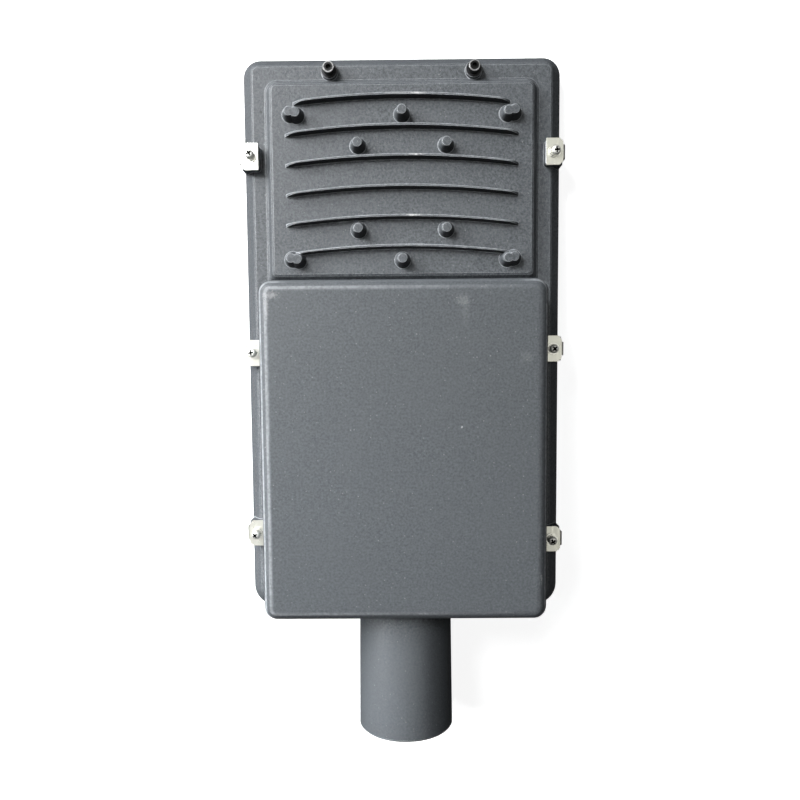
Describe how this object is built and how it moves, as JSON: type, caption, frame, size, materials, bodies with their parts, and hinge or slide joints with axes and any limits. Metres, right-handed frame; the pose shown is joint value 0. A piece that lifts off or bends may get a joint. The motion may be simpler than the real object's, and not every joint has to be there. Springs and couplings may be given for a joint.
{
  "type": "led street light head",
  "caption": "Arm-mounted LED street light head: cast housing with arched cooling fins and cast pins, driver box, side clips over a front glass and a round spigot tube.",
  "frame": {"origin": "centre of the spigot tube's mouth, on the tube's axis", "axes": "+Y runs along the plate from the tube's mouth towards the tip of the head; +Z points out of the finned back, away from the glass, so the light leaves towards -Z; +X is to the right when the back is seen with the tip up. The tube is inclined 8 degrees to the plate: from its mouth it runs towards +Y and down towards -Z."},
  "size_m": [0.1984, 0.4262, 0.0754],
  "materials": {
    "housing_paint": "dark grey semi-matte powder coat on die-cast aluminium, lightly scuffed",
    "clip_steel": "plain stainless sheet",
    "screw_steel": "stainless fasteners",
    "clear_glass": "clear tempered glass",
    "silicone": "pale translucent silicone",
    "white_sheet": "white powder-coated sheet",
    "board_white": "white solder mask on an aluminium-core board",
    "led_yellow": "yellow phosphor packages",
    "lens_clear": "clear moulded acrylic",
    "ivory_plastic": "moulded plastic",
    "driver_case": "plain aluminium case",
    "surge_plastic": "dark blue moulded case",
    "black_rubber": "black rubber",
    "plain_brass": "plain brass",
    "grey_plastic": "grey nylon",
    "lead_black": "black lead insulation",
    "lead_red": "red lead insulation",
    "lead_earth": "green and yellow lead insulation"
  },
  "bodies": {
    "root": {"housing": "housing_paint", "front_glass": "clear_glass", "glass_gasket": "silicone", "clip_left_tip": "clip_steel", "clip_left_mid": "clip_steel", "clip_left_arm": "clip_steel", "clip_right_tip": "clip_steel", "clip_right_mid": "clip_steel", "clip_right_arm": "clip_steel", "clip_washers": "screw_steel", "clip_spring_washers": "screw_steel", "clip_screws": "screw_steel", "tip_screws": "screw_steel", "tip_washers": "screw_steel", "led_board": "board_white", "led_packages": "led_yellow", "board_connector": "ivory_plastic", "lens_panel": "lens_clear", "lens_screws": "screw_steel", "lens_bezel": "white_sheet", "bezel_screws": "screw_steel", "gear_cover": "white_sheet", "gear_cover_screws": "screw_steel", "driver": "driver_case", "driver_bushes": "black_rubber", "driver_screws": "screw_steel", "surge_protector": "surge_plastic", "surge_screws": "screw_steel", "terminal_block": "ivory_plastic", "terminal_screws": "screw_steel", "pole_screws": "plain_brass", "cord_clamp": "grey_plastic", "clamp_screws": "screw_steel", "throat_grommet": "black_rubber", "earth_lug": "plain_brass", "earth_screw": "screw_steel", "earth_lead": "lead_earth", "supply_lead": "lead_black", "surge_lead": "lead_black", "board_lead": "lead_red", "spigot_set_screws": "screw_steel"}
  },
  "joints": []
}
